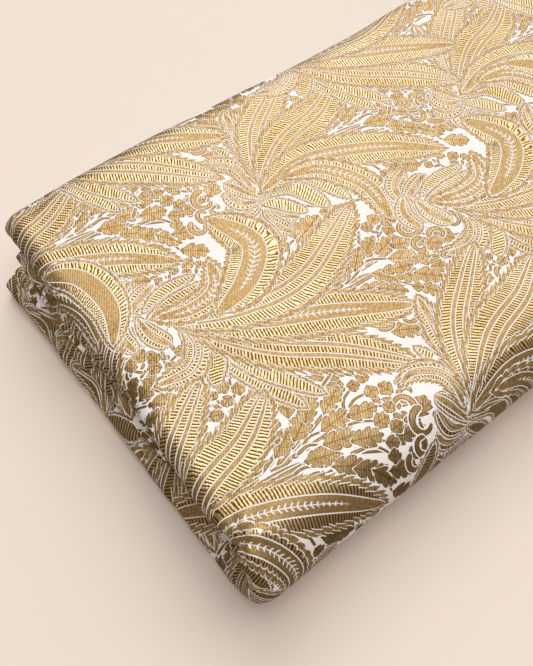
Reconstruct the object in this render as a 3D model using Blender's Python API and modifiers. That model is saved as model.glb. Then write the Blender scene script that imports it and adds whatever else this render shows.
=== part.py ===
# Folded brocade: one long cloth laid back and forth in six layers, then folded in half like a book.
# X runs from the creased short end to the far end, Y from the rounded long side to the loose edges, Z up.
import math
from collections import namedtuple

import bmesh
import bpy

# Driving dimensions, metres
BUNDLE_LENGTH = 0.420
BUNDLE_WIDTH = 0.272
BUNDLE_HEIGHT = 0.058
CLOTH_THICKNESS = 0.0015
LAYERS = 6
MM = 0.001

# The long side where the whole stack turns over
SIDE_BULGE = 0.027
INNER_BULGE = 0.0015

# How far a crease swells the stack, along X from the creased end
CREASE_REACH = 0.075

# The loose edges of the upper half hang down in a soft curve, which wavers in and out along X
EDGE_ANGLE = math.radians(82)
EDGE_WAVER = 0.003
EDGE_WAVER_PITCH = 0.360
EDGE_WAVER_PEAK = 0.095

# Gentle unevenness of the upper face, as shares of the half height
SAG_SHARE = 0.045
WAVE_SHARE = 0.022

CLOTH_COLOUR = (0.62, 0.45, 0.22, 1.0)

# The creased end, read round the wrap: 0 is the loose edge above, 1 to 2 the long side, 3 the edge below.
# Setbacks and depths are millimetres; a depth runs inward from the outer face to the middle of a layer.
EndStation = namedtuple("EndStation", "wrap setbacks depths")
END_STATIONS = (
    EndStation(0.00, (14.5, 11.0, 11.5), (0.75, 16.2, 18.2, 21.8, 23.8, 27.7)),
    EndStation(0.30, (12.5, 10.0, 7.5), (0.75, 16.2, 18.2, 21.8, 23.8, 27.7)),
    EndStation(0.55, (11.5, 11.0, 12.0), (0.75, 16.2, 18.2, 21.8, 23.8, 27.7)),
    EndStation(0.75, (6.5, 14.0, 16.0), (0.75, 16.4, 18.4, 22.0, 24.0, 27.7)),
    EndStation(0.92, (4.5, 15.0, 18.0), (0.75, 15.5, 18.0, 22.0, 24.0, 27.7)),
    EndStation(1.02, (7.0, 15.0, 20.0), (0.75, 13.5, 17.0, 21.5, 23.8, 27.7)),
    EndStation(1.18, (3.0, 15.0, 21.0), (0.75, 14.0, 16.8, 21.0, 23.4, 27.7)),
    EndStation(1.50, (1.0, 15.0, 22.0), (0.75, 14.5, 17.0, 21.0, 23.4, 27.7)),
    EndStation(2.00, (0.5, 14.0, 21.0), (0.75, 11.6, 14.4, 18.8, 22.0, 27.7)),
    EndStation(2.53, (0.8, 7.0, 13.0), (0.75, 13.0, 15.2, 21.4, 23.4, 27.7)),
    EndStation(2.80, (0.6, 4.0, 9.0), (0.75, 14.0, 16.0, 22.4, 24.6, 27.7)),
    EndStation(3.00, (0.0, 7.5, 13.0), (0.75, 14.4, 16.4, 23.0, 25.1, 27.8)),
)
# How far each creased loop at that end noses out, millimetres
FRONT_NOSES = (10.0, 3.6, 3.2)

# The far end, one row for each crease there and for the two cut ends
FAR_SETBACKS = {"outer_cut_end": 0.0, "creases": (4.0, 9.0), "inner_cut_end": 12.0}
FAR_NOSES = (4.0, 4.0)

# Loose edges, millimetres, one row for each layer: setback, turn and drop shape the hanging curve above,
# trim is the setback of the same layer's edge below
LooseEdge = namedtuple("LooseEdge", "setback turn drop trim")
LOOSE_EDGES = (
    LooseEdge(0.0, 20.0, 12.0, 13.5),
    LooseEdge(14.0, 9.0, 5.0, 14.5),
    LooseEdge(19.5, 8.0, 3.0, 17.5),
    LooseEdge(21.5, 8.0, 2.0, 18.5),
    LooseEdge(23.0, 7.0, 1.0, 22.0),
    LooseEdge(24.5, 7.0, 0.0, 24.0),
)

# Steps of the cloth grid
RUN_STEPS = 6
LOOP_STEPS = 8
WRAP_STEPS = {"edge": 5, "upper": 9, "side": 10, "lower": 9}

FIRST_DEPTH = CLOTH_THICKNESS / 2
LAST_DEPTH = 0.0277
MID_HEIGHT = BUNDLE_HEIGHT / 2
SIDE_CENTRE = -BUNDLE_WIDTH / 2 + SIDE_BULGE


def lerp(a, b, share):
    return a + (b - a) * share


def ease(value):
    """Smooth 0 to 1."""
    value = min(max(value, 0.0), 1.0)
    return value * value * (3 - 2 * value)


def row_at(rows, position):
    """Values between two rows of a table, at a fractional row number."""
    low = min(int(position), len(rows) - 2)
    share = position - low
    return [lerp(a, b, share) for a, b in zip(rows[low], rows[low + 1])]


def end_at(wrap):
    """(setbacks, depths) of the creased end at this place round the wrap, metres."""
    for before, after in zip(END_STATIONS, END_STATIONS[1:]):
        if wrap <= after.wrap:
            break
    share = ease((wrap - before.wrap) / (after.wrap - before.wrap))
    setbacks = [MM * lerp(a, b, share) for a, b in zip(before.setbacks, after.setbacks)]
    depths = [MM * lerp(a, b, share) for a, b in zip(before.depths, after.depths)]
    return setbacks, depths


def flat_depth(layer):
    """Depth of a layer, counted from 0, where the stack lies evenly."""
    return lerp(FIRST_DEPTH, LAST_DEPTH, layer / (LAYERS - 1))


def wrap_columns():
    """Places round the wrap as (wrap, zone, share), from the loose edge above to the loose edge below."""
    spans = {"edge": (0.0, 0.09), "upper": (0.09, 1.0), "side": (1.0, 2.0), "lower": (2.0, 3.0)}
    columns = []
    for zone, steps in WRAP_STEPS.items():
        start, end = spans[zone]
        for step in range(0 if zone == "edge" else 1, steps + 1):
            share = step / steps
            columns.append((lerp(start, end, share), zone, share))
    return columns


def upper_swell(x, y):
    """Scale of the half height of the upper face, which sags a little in the middle and wavers."""
    along = x / BUNDLE_LENGTH
    across = (y + BUNDLE_WIDTH / 2) / BUNDLE_WIDTH
    sag = SAG_SHARE * math.sin(math.pi * along) * math.sin(math.pi * across)
    wave = WAVE_SHARE * math.sin(2.3 * math.pi * along + 1.1) * math.cos(1.7 * math.pi * across)
    return 1 - sag + wave * ease(along * 6)


def edge_waver(x):
    """How far the loose edges of the upper half lie inward of their furthest reach."""
    return EDGE_WAVER * (1 - math.cos(2 * math.pi * (x - EDGE_WAVER_PEAK) / EDGE_WAVER_PITCH))


def placed(column, x, depth, layer, settled):
    """The point at this column of the wrap, for a depth and a fractional layer number."""
    _, zone, share = column
    setback, turn, drop, trim = (MM * value for value in row_at(LOOSE_EDGES, layer))
    half = MID_HEIGHT - depth
    bulge = lerp(INNER_BULGE, SIDE_BULGE, half / MID_HEIGHT)
    edge_start = BUNDLE_WIDTH / 2 - setback - turn
    if zone == "edge":
        angle = EDGE_ANGLE * (1 - share)
        fall = drop * lerp(1.0, settled, min(layer, 1.0))
        y = edge_start + turn * math.sin(angle) - edge_waver(x)
        half -= fall * (1 - math.cos(angle))
        rise = half
    elif zone == "upper":
        y = lerp(edge_start - edge_waver(x), SIDE_CENTRE, share)
        rise = half
    elif zone == "side":
        y = SIDE_CENTRE - bulge * math.sin(math.pi * share)
        rise = half * math.cos(math.pi * share)
    else:
        y = lerp(SIDE_CENTRE, BUNDLE_WIDTH / 2 - trim, share)
        rise = -half
    if rise > 0:
        rise *= upper_swell(x, y)
    return x, y, MID_HEIGHT + rise


def section(column):
    """The cloth laid back and forth at this column, as points from the outer cut end to the inner one."""
    wrap = column[0]
    setbacks, end_depths = end_at(wrap)
    points = []

    def run(layer, start, end):
        """A layer's straight run between two places along X."""
        front = min(start, end)
        for step in range(RUN_STEPS + 1):
            x = lerp(start, end, step / RUN_STEPS)
            settled = ease((x - front) / CREASE_REACH)
            depth = lerp(end_depths[layer], flat_depth(layer), settled)
            points.append(placed(column, x, depth, layer, settled))

    def loop(layer, centre, nose, depths, settled):
        """The crease that joins a layer to the next one; a negative nose points to the creased end."""
        middle, half = sum(depths) / 2, (depths[1] - depths[0]) / 2
        for step in range(1, LOOP_STEPS):
            angle = math.pi * (step / LOOP_STEPS - 0.5)
            x = centre + nose * math.cos(angle)
            depth = middle + half * math.sin(angle)
            points.append(placed(column, x, depth, layer + step / LOOP_STEPS, settled))

    front = [setback + MM * nose for setback, nose in zip(setbacks, FRONT_NOSES)]
    far_reaches = zip(FAR_SETBACKS["creases"], FAR_NOSES)
    far = [BUNDLE_LENGTH - MM * (setback + nose) for setback, nose in far_reaches]
    outer_end = BUNDLE_LENGTH - MM * FAR_SETBACKS["outer_cut_end"]
    inner_end = BUNDLE_LENGTH - MM * FAR_SETBACKS["inner_cut_end"]
    for pair, front_x in enumerate(front):
        layer = 2 * pair
        run(layer, far[pair - 1] if pair else outer_end, front_x)
        loop(layer, front_x, -MM * FRONT_NOSES[pair], end_depths[layer : layer + 2], 0.0)
        last = pair == len(front) - 1
        run(layer + 1, front_x, inner_end if last else far[pair])
        if not last:
            depths = (flat_depth(layer + 1), flat_depth(layer + 2))
            loop(layer + 1, far[pair], MM * FAR_NOSES[pair], depths, 1.0)
    return points


def folded_cloth(collection, material):
    """A flat grid whose points are moved into the folds, given the thickness of the cloth."""
    rows = [section(column) for column in wrap_columns()]
    mesh = bpy.data.meshes.new("brocade_cloth")
    bm = bmesh.new()
    bmesh.ops.create_grid(bm, x_segments=len(rows[0]) - 1, y_segments=len(rows) - 1, size=0.5)
    bm.verts.ensure_lookup_table()
    for place, vert in zip((point for row in rows for point in row), bm.verts):
        vert.co = place
    for face in bm.faces:
        face.smooth = True
    bm.to_mesh(mesh)
    bm.free()
    mesh.materials.append(material)
    cloth = bpy.data.objects.new("brocade_cloth", mesh)
    collection.objects.link(cloth)
    thickness = cloth.modifiers.new("cloth thickness", "SOLIDIFY")
    thickness.thickness = CLOTH_THICKNESS
    thickness.offset = 0
    thickness.use_even_offset = True
    return cloth


def centre_on_base(cloth):
    """Puts the middle of the folded bundle's base at the origin."""
    bpy.context.view_layer.update()
    evaluated = cloth.evaluated_get(bpy.context.evaluated_depsgraph_get())
    corners = [tuple(corner) for corner in evaluated.bound_box]
    low = [min(corner[axis] for corner in corners) for axis in range(3)]
    high = [max(corner[axis] for corner in corners) for axis in range(3)]
    cloth.location = (-(low[0] + high[0]) / 2, -(low[1] + high[1]) / 2, -low[2])


def brocade_material():
    material = bpy.data.materials.new("gold brocade")
    material.use_nodes = True
    shader = material.node_tree.nodes["Principled BSDF"]
    shader.inputs["Base Color"].default_value = CLOTH_COLOUR
    shader.inputs["Roughness"].default_value = 0.45
    shader.inputs["Metallic"].default_value = 0.4
    return material


def main():
    for existing in list(bpy.data.objects):
        bpy.data.objects.remove(existing)
    collection = bpy.data.collections.new("folded_brocade")
    bpy.context.scene.collection.children.link(collection)
    centre_on_base(folded_cloth(collection, brocade_material()))


main()
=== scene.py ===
# Folded gold brocade: a thin woven sheet laid on the folds of its solid
import math
import bpy
import numpy as np
from itertools import product
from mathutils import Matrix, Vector


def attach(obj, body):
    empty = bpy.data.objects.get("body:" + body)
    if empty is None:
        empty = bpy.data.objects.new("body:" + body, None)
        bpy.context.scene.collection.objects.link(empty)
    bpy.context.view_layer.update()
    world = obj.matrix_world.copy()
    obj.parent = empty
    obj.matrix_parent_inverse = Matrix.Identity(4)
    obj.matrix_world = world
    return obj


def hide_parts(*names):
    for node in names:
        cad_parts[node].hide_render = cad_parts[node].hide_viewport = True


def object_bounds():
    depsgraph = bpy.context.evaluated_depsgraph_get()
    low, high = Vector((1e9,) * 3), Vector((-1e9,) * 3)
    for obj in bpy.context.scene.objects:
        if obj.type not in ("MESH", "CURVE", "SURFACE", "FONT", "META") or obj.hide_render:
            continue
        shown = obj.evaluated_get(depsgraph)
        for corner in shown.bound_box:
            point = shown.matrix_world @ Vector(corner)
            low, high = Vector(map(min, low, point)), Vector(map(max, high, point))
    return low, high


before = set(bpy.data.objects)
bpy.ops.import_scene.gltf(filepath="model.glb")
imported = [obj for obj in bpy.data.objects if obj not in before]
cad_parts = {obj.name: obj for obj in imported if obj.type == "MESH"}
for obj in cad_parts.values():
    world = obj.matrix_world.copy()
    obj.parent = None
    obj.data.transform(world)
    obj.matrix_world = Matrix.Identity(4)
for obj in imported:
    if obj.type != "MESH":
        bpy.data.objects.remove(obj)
cadBox = [[float(value) for value in corner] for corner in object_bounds()]
print("solid loaded, box", cadBox)

mm = 0.001


def eased(value):
    value = np.clip(value, 0.0, 1.0)
    return value * value * (3 - 2 * value)


def between(low, high, share):
    return low + (high - low) * share


# The folds, in the solid's own sizes: metres, and millimetres where a note says so

bundle = {
    "length": 0.420,
    "width": 0.272,
    "height": 0.058,
    "sheet": 0.0011,  # thickness of the woven cloth
    "firstDepth": 0.00065,  # middle of the outer layer, in from the outside
    "lastDepth": 0.0277,
    "sideBulge": 0.027,  # how far the long side rounds out
    "innerBulge": 0.0015,
    "creaseReach": 0.075,  # how far a crease swells the stack
    "edgeAngle": math.radians(82),  # how far the loose edges above turn down
    "edgeWaver": (0.003, 0.360, 0.095),  # reach, pitch and peak of their in and out
    "sag": 0.045,
    "wave": {"height": 0.022, "along": 2.3, "across": 1.7, "start": 1.1, "growth": 6},  # in half waves
}

# The creased end round the wrap: 0 loose edge above, 1 to 2 the long side, 3 loose edge below.
# Setbacks of the three creases, how far their noses reach out, then depths of the four middle layers,
# in millimetres.
creasedEnd = {
    "wrap": (0.00, 0.30, 0.55, 0.75, 0.92, 1.02, 1.18, 1.50, 2.00, 2.53, 2.80, 3.00),
    "topCrease": (14.5, 12.5, 11.5, 6.5, 4.5, 7.0, 3.0, 1.0, 0.5, 0.8, 0.6, 0.0),
    "middleCrease": (11.0, 10.0, 11.0, 14.0, 15.0, 15.0, 15.0, 15.0, 14.0, 7.0, 4.0, 7.5),
    "innerCrease": (11.5, 7.5, 12.0, 16.0, 18.0, 20.0, 21.0, 22.0, 21.0, 13.0, 9.0, 13.0),
    "noses": (10.0, 3.6, 3.2),
    "layerTwo": (16.2, 16.2, 16.2, 16.4, 15.5, 13.5, 14.0, 14.5, 11.6, 13.0, 14.0, 14.4),
    "layerThree": (18.2, 18.2, 18.2, 18.4, 18.0, 17.0, 16.8, 17.0, 14.4, 15.2, 16.0, 16.4),
    "layerFour": (21.8, 21.8, 21.8, 22.0, 22.0, 21.5, 21.0, 21.0, 18.8, 21.4, 22.4, 23.0),
    "layerFive": (23.8, 23.8, 23.8, 24.0, 24.0, 23.8, 23.4, 23.4, 22.0, 23.4, 24.6, 25.1),
}
# The far end: how far its two cut ends and two creases stand back, millimetres
farEnd = {"outerCut": 0.0, "creases": (4.0, 9.0), "innerCut": 12.0, "noses": (4.0, 4.0)}

# Loose edges, millimetres, one entry for each layer from the outside in
looseEdges = {
    "setback": (0.0, 14.0, 19.5, 21.5, 23.0, 24.5),
    "turn": (20.0, 9.0, 8.0, 8.0, 7.0, 7.0),
    "drop": (12.0, 5.0, 3.0, 2.0, 1.0, 0.0),
    "trim": (13.5, 14.5, 17.5, 18.5, 22.0, 24.0),
}

# Columns run round the wrap and rows along the cloth
fineness = {
    "edge": 12,
    "upper": 124,
    "side": 50,
    "lower": 80,
    "outerRun": 240,
    "innerRun": 8,
    "loops": (18, 12, 10),
    "farLoops": 8,
    "crowding": 0.85,  # how much the rows of hidden layers gather near their ends
    "reverseStep": 3,
    "patternedFace": 26,  # millimetres: longer faces, deep in hidden layers, show no pattern
}

midHeight = bundle["height"] / 2
sideCentre = -bundle["width"] / 2 + bundle["sideBulge"]
layerCount = len(looseEdges["setback"])


def wrapColumns():
    spans = {"edge": (0.0, 0.09), "upper": (0.09, 1.0), "side": (1.0, 2.0), "lower": (2.0, 3.0)}
    wraps, zones, shares = [], [], []
    for number, (zone, (start, end)) in enumerate(spans.items()):
        steps = fineness[zone]
        for step in range(0 if zone == "edge" else 1, steps + 1):
            wraps.append(between(start, end, step / steps))
            zones.append(number)
            shares.append(step / steps)
    return np.array(wraps), np.array(zones), np.array(shares)


wraps, zones, shares = wrapColumns()


def roundTheWrap(name):
    # a column of creasedEnd at every place round the wrap, metres
    knots, values = np.array(creasedEnd["wrap"]), np.array(creasedEnd[name]) * mm
    low = np.clip(np.searchsorted(knots, wraps) - 1, 0, len(knots) - 2)
    share = eased((wraps - knots[low]) / (knots[low + 1] - knots[low]))
    return between(values[low], values[low + 1], share)


def looseEdge(name, layer):
    return np.interp(layer, range(layerCount), looseEdges[name]) * mm


def flatDepth(layer):
    return between(bundle["firstDepth"], bundle["lastDepth"], layer / (layerCount - 1))


def upperSwell(x, y):
    # how the sag and the wave of the top stretch the heights above the middle
    along = x / bundle["length"]
    across = (y + bundle["width"] / 2) / bundle["width"]
    wave = bundle["wave"]
    sag = bundle["sag"] * np.sin(math.pi * along) * np.sin(math.pi * across)
    swing = wave["height"] * np.sin(wave["along"] * math.pi * along + wave["start"])
    swing = swing * np.cos(wave["across"] * math.pi * across)
    return 1 - sag + swing * eased(along * wave["growth"])


def rowOfPoints(x, depth, layer, settled):
    # one row of the cloth: a place along X and a depth for every column of the wrap
    setback, turn, drop, trim = (looseEdge(name, layer) for name in looseEdges)
    waver, pitch, peak = bundle["edgeWaver"]
    half = midHeight - depth
    edgeStart = bundle["width"] / 2 - setback - turn
    edgeStart = edgeStart - waver * (1 - np.cos(2 * math.pi * (x - peak) / pitch))
    angle = bundle["edgeAngle"] * (1 - shares)
    fall = drop * between(1.0, settled, min(layer, 1.0)) * (1 - np.cos(angle))
    bulge = between(bundle["innerBulge"], bundle["sideBulge"], half / midHeight)
    edge = edgeStart + turn * np.sin(angle)
    upper = between(edgeStart, sideCentre, shares)
    side = sideCentre - bulge * np.sin(math.pi * shares)
    lower = between(sideCentre, bundle["width"] / 2 - trim, shares)
    parts = [zones == 0, zones == 1, zones == 2]
    y = np.select(parts, [edge, upper, side], lower)
    rise = np.select(parts, [half - fall, half, half * np.cos(math.pi * shares)], -half)
    rise = np.where(rise > 0, rise * upperSwell(x, y), rise)
    return np.stack((x + 0 * y, y, midHeight + rise), axis=1)


def foldedRows():
    # the middle surface of the cloth, row by row from the outer cut end to the inner one
    rows, layers = [], []
    reach = bundle["creaseReach"]
    setbacks = [roundTheWrap(name) for name in ("topCrease", "middleCrease", "innerCrease")]
    endDepths = [roundTheWrap(name) for name in ("layerTwo", "layerThree", "layerFour", "layerFive")]
    endDepths = [bundle["firstDepth"] + 0 * wraps] + endDepths + [bundle["lastDepth"] + 0 * wraps]
    fronts = [back + nose * mm for back, nose in zip(setbacks, creasedEnd["noses"])]
    fars = []
    for back, nose in zip(farEnd["creases"], farEnd["noses"]):
        fars.append(bundle["length"] - (back + nose) * mm)
    apexes = []  # the row at the tip of every loop

    def run(layer, start, end, steps, front):
        for step in range(steps + 1):
            share = step / steps
            if steps < fineness["outerRun"]:  # a hidden layer
                share = between(share, eased(share), fineness["crowding"])
            x = between(start, end, share)
            settled = eased((x - front) / reach)
            depth = between(endDepths[layer], flatDepth(layer), settled)
            rows.append(rowOfPoints(x + 0 * wraps, depth, layer, settled))
            layers.append(layer)

    def loop(layer, centre, nose, upper, lower, steps, settled):
        for step in range(1, steps):
            angle = math.pi * (step / steps - 0.5)
            x = centre + nose * math.cos(angle)
            depth = (upper + lower) / 2 + (lower - upper) / 2 * math.sin(angle)
            if step == steps // 2:
                apexes.append(len(rows))
            rows.append(rowOfPoints(x + 0 * wraps, depth + 0 * wraps, layer + step / steps, settled))
            layers.append(layer + step / steps)

    for pair, front in enumerate(fronts):
        layer = 2 * pair
        last = pair == len(fronts) - 1
        start = fars[pair - 1] if pair else bundle["length"] - farEnd["outerCut"] * mm
        end = bundle["length"] - farEnd["innerCut"] * mm if last else fars[pair]
        run(layer, start, front, fineness["innerRun" if pair else "outerRun"], front)
        nose = -creasedEnd["noses"][pair] * mm
        loop(layer, front, nose, endDepths[layer], endDepths[layer + 1], fineness["loops"][pair], 0.0)
        run(layer + 1, front, end, fineness["innerRun"], front)
        if not last:
            depths = flatDepth(layer + 1), flatDepth(layer + 2)
            loop(layer + 1, fars[pair], farEnd["noses"][pair] * mm, *depths, fineness["farLoops"], 1.0)
    return np.array(rows), np.array(layers), apexes


def normalsOf(grid):
    normal = np.cross(np.gradient(grid, axis=0), np.gradient(grid, axis=1))
    return normal / np.linalg.norm(normal, axis=2, keepdims=True)


def clothPlaces(grid):
    # where every point lies on the flat cloth: u along its length, equal to X on top, and v across it
    steps = np.linalg.norm(np.diff(grid, axis=0), axis=2)
    run = np.vstack((np.zeros(grid.shape[1]), np.cumsum(steps, axis=0)))
    u = grid[0, :, 0] - run
    middle = grid[fineness["outerRun"] // 2]
    across = np.concatenate(([0.0], np.cumsum(np.linalg.norm(np.diff(middle, axis=0), axis=1))))
    flat = np.argmin(np.abs(middle[:, 1]) + 10 * (zones != 1))  # the column on top nearest to Y = 0
    v = middle[flat, 1] + across[flat] - across
    return u, np.broadcast_to(v, u.shape)


# Small unevenness, raised or pressed in along the cloth's outer side, metres

unevenness = {
    "top": {"height": 0.0005, "pitches": (0.083, 0.061, 0.047, 0.036), "turn": 0.4, "lowest": 0.004},
    "creases": {
        "height": 0.00045,
        "lowerHeight": 0.0007,
        "pitches": (0.013, 0.019, 0.031),
        "turn": 0.2,
        "each": [(0.014, 1.0), (0.004, 0.4), (0.004, 0.4)],  # reach and share, the uppermost crease first
    },
    "corner": {
        "wrap": 1.03,  # its place round the wrap
        "inset": 0.004,
        "gather": 0.0011,
        "gatherReach": 0.017,
        "gatherStart": 0.006,
        "pleats": 6,
        "turn": 0.6,
        "pit": 0.0022,
        "pitReach": 0.0045,
    },
    "dent": {"place": (-0.192, -0.012), "reach": (0.024, 0.009), "turn": 0.9, "depth": 0.0012},
}  # a turn is in radians


def waves(a, b, pitches, turn):
    # a few crossing sine waves of the given pitches, each turned and shifted against the one before
    total = 0.0
    for number, pitch in enumerate(pitches):
        angle = turn + 2.4 * number
        reach = a * math.cos(angle) + b * math.sin(angle)
        total = total + np.sin(2 * math.pi * reach / pitch + 1.7 * number)
    return total / len(pitches)


def bell(distance, reach):
    # 1 at the middle, fading out past the reach
    return np.exp(-((distance / reach) ** 2))


def roughened(grid, u, v, layers, apexes):
    top, creases, corner, dent = unevenness.values()
    lift = top["height"] * waves(u, v, top["pitches"], top["turn"])
    outer = (layers < 0.5)[:, None] & (grid[..., 2] > top["lowest"])
    total = np.where(outer, lift, 0.0)
    ripple = waves(v, u, creases["pitches"], creases["turn"]) ** 2
    height = np.where(zones == 3, creases["lowerHeight"], creases["height"])
    for apex, (reach, share) in zip(apexes[::2], creases["each"]):
        total = total + bell(u - u[apex], reach) * ripple * height * share
    column = np.argmin(np.abs(wraps - corner["wrap"]))
    da = u - (u[apexes[0], column] + corner["inset"])
    db = v - v[0, column]
    distance = np.hypot(da, db)
    pleats = np.cos(corner["pleats"] * np.arctan2(da, db) + corner["turn"])
    gather = corner["gather"] * pleats * bell(distance, corner["gatherReach"])
    total = total + gather * eased(distance / corner["gatherStart"])
    total = total - corner["pit"] * bell(distance, corner["pitReach"])
    da = u - dent["place"][0]
    db = v - dent["place"][1]
    first = (da * math.cos(dent["turn"]) + db * math.sin(dent["turn"])) / dent["reach"][0]
    second = (db * math.cos(dent["turn"]) - da * math.sin(dent["turn"])) / dent["reach"][1]
    total = total - dent["depth"] * np.exp(-(first**2) - second**2)
    return grid + normalsOf(grid) * total[..., None]


# The woven pattern, charted in millimetres from the first fan's base: X along the cloth, Y across it

# tooth: depth of the teeth, or of round lobes below zero; rim: plain gold edge, very wide for a motif that
# is gold all over; lobe: the inner lobe's share of the width; ribs: whether it has them; fern: the share of
# the lobe's width past which it has a fern, or 9 for none; swell and point: how it tapers at its base and
# tip; full: how much wider than charted it is
lookParts = ("tooth", "rim", "lobe", "ribs", "fern", "swell", "point", "full")
looks = {
    "broad": (2.6, 3.2, 0.32, 1, 9, 0.55, 0.5, 1.16),
    "plain": (1.9, 2.3, 0.3, 1, 9, 0.55, 0.5, 1.16),
    "fern": (-1.9, 2.8, 0.42, 1, 0.8, 0.6, 0.55, 1.15),
    "frond": (2.6, 3.2, 0.3, 1, 0.86, 0.55, 0.5, 1.16),
    "moon": (-1.0, 1.7, 0.42, 1, 1.05, 0.6, 0.75, 1.0),
    "slim": (1.1, 1.5, 0.0, 1, 9, 0.5, 0.45, 1.15),
    "petal": (0.4, 1.1, 0.36, 1, 9, 0.6, 0.35, 1.2),
    "leaflet": (-2.3, 40.0, 0.0, 0, 9, 0.5, 0.4, 1.25),
    "bud": (-1.3, 40.0, 0.0, 0, 9, 0.45, 0.45, 1.2),
    "stroke": (0.0, 40.0, 0.0, 0, 9, 0.3, 0.3, 1.3),
}

fanOne = {
    "leaves": [
        # look, width, then the points that its middle line runs through
        ("leaflet", 17, (-9, -5), (14, 9)),
        ("leaflet", 14, (-3, -12), (10, 22)),
        ("petal", 11, (3, 3), (4, -9), (13, -21)),
        ("petal", 11, (3, 2), (-3, -12), (3, -28)),
        ("petal", 11, (2, 3), (-9, -8), (-7, -26)),
        ("petal", 11, (5, 3), (-10, 1), (-18, 10)),
        ("petal", 11, (5, 2), (-7, 8), (-9, 21)),
        ("petal", 10, (5, 2), (0, 14), (-6, 27)),
        ("slim", 9, (8, 14), (11, 35), (6, 55)),
        ("slim", 8, (13, 20), (16, 40), (16, 59)),
        ("slim", 10, (1, 2), (10, -6), (20, -21)),
        ("slim", 13, (4, 5), (24, 0), (33, -26)),
        ("slim", 12, (6, 7), (35, 4), (47, -29)),
        ("plain", 14, (4, 9), (7, 32), (-5, 43), (-18, 41)),
        ("plain", 15, (13, 16), (22, 50), (31, 78)),
        ("broad", 25, (8, 10), (33, 47), (60, 68), (84, 84)),
        ("broad", 30, (8, 11), (45, 33), (78, 42), (105, 57)),
        ("frond", 28, (4, 7), (45, 13), (88, -6), (122, -34)),
        ("fern", 20, (22, 10), (48, 1), (61, -26), (54, -58)),
    ],
    "leaflets": [
        # base, tip, width
        ((84, 25), (101, 33), 9), ((97, 26), (114, 35), 9), ((108, 30), (122, 43), 9),
        ((118, 28), (135, 36), 8), ((111, 22), (130, 22), 9), ((126, 20), (143, 15), 8),
        ((94, 15), (112, 8), 9), ((107, 16), (125, 10), 9), ((119, 9), (135, 2), 9),
        ((103, 5), (118, -5), 9), ((111, -2), (125, -14), 9), ((119, -8), (128, -23), 8),
        ((103, 37), (112, 52), 8), ((90, 30), (97, 44), 7), ((79, -19), (99, -33), 11),
        ((75, -37), (84, -33), 5), ((-1, -35), (23, -26), 12), ((1, -32), (7, -18), 9),
        ((-10, -36), (-4, -21), 7), ((84, 56), (96, 52), 6), ((-22, 23), (-35, 29), 9),
        ((-20, 23), (-10, 30), 9), ((126, -14), (142, -22), 9), ((134, -2), (151, -6), 8),
        ((124, -26), (137, -37), 9),
    ],
    "buds": [
        # centre, radius
        ((139, 8), 4.5), ((143, 1), 4.0), ((136, -4), 4.0), ((147, 11), 3.6), ((146, 23), 4.0),
        ((117, 49), 3.6), ((125, 47), 3.6), ((141, 31), 3.6), ((133, -10), 4.0), ((107, -9), 3.2),
        ((76, -26), 4.0), ((73, -33), 3.4), ((107, -29), 4.2), ((113, -35), 3.2), ((102, -36), 3.0),
        ((88, 72), 4.2), ((94, 66), 4.0), ((85, 64), 3.6), ((97, 76), 3.6), ((99, 59), 3.6),
        ((81, 71), 3.0), ((-23, 45), 4.4), ((-14, 43), 3.8), ((-33, 43), 3.8), ((-11, 18), 3.2),
        ((-35, 20), 3.6), ((28, -27), 4.0), ((32, -33), 3.0), ((24, -33), 3.0),
    ],
    "strokes": [
        # width, then the points that it runs through
        (2.6, (60, 23), (85, 20), (105, 25), (126, 30)),
        (2.4, (72, 20), (98, 12), (120, -6)),
        (2.0, (92, 20), (115, 19), (140, 20)),
        (1.8, (86, 23), (100, 33), (110, 44)),
        (1.6, (66, -6), (77, -15), (86, -23)),
        (1.4, (74, -12), (75, -20), (76, -26)),
        (2.0, (-22, -47), (-9, -38), (-6, -24)),
        (1.4, (84, 52), (89, 64), (96, 78)),
        (1.3, (28, -38), (28, -32), (28, -27)),
        (1.3, (108, -44), (107, -36), (107, -29)),
        (2.8, (-20, 14), (-23, 22), (-20, 30), (-23, 41)),
        (2.0, (60, 24), (80, 24), (100, 33), (116, 47)),
        (2.0, (66, 20), (90, 16), (112, 6), (132, -6)),
        (1.8, (70, 17), (88, 8), (100, -4), (106, -12)),
        (1.8, (84, 22), (104, 27), (122, 38), (138, 44)),
        (2.4, (40, 17), (72, 17), (104, 13), (132, 16)),
        (2.2, (42, 16), (74, 13), (104, 3), (128, -12)),
        (2.0, (44, 15), (70, 11), (94, 1), (110, -14)),
        (1.8, (60, 19), (84, 26), (102, 29), (112, 40)),
    ],
    "scrolls": [
        # centre, radius, first angle, hand, width
        ((-18, 7), 9.0, 200, 1, 3.4),
        ((-31, 12), 6.0, 10, -1, 3.0),
        ((-30, 36), 5.5, 330, 1, 2.8),
        ((-16, 36), 5.0, 210, -1, 2.8),
        ((152, 8), 8.0, 250, 1, 3.2),
        ((157, -6), 8.0, 80, 1, 3.2),
        ((151, -14), 7.0, 300, -1, 3.0),
        ((143, -20), 6.0, 120, 1, 2.8),
    ],
}

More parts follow.
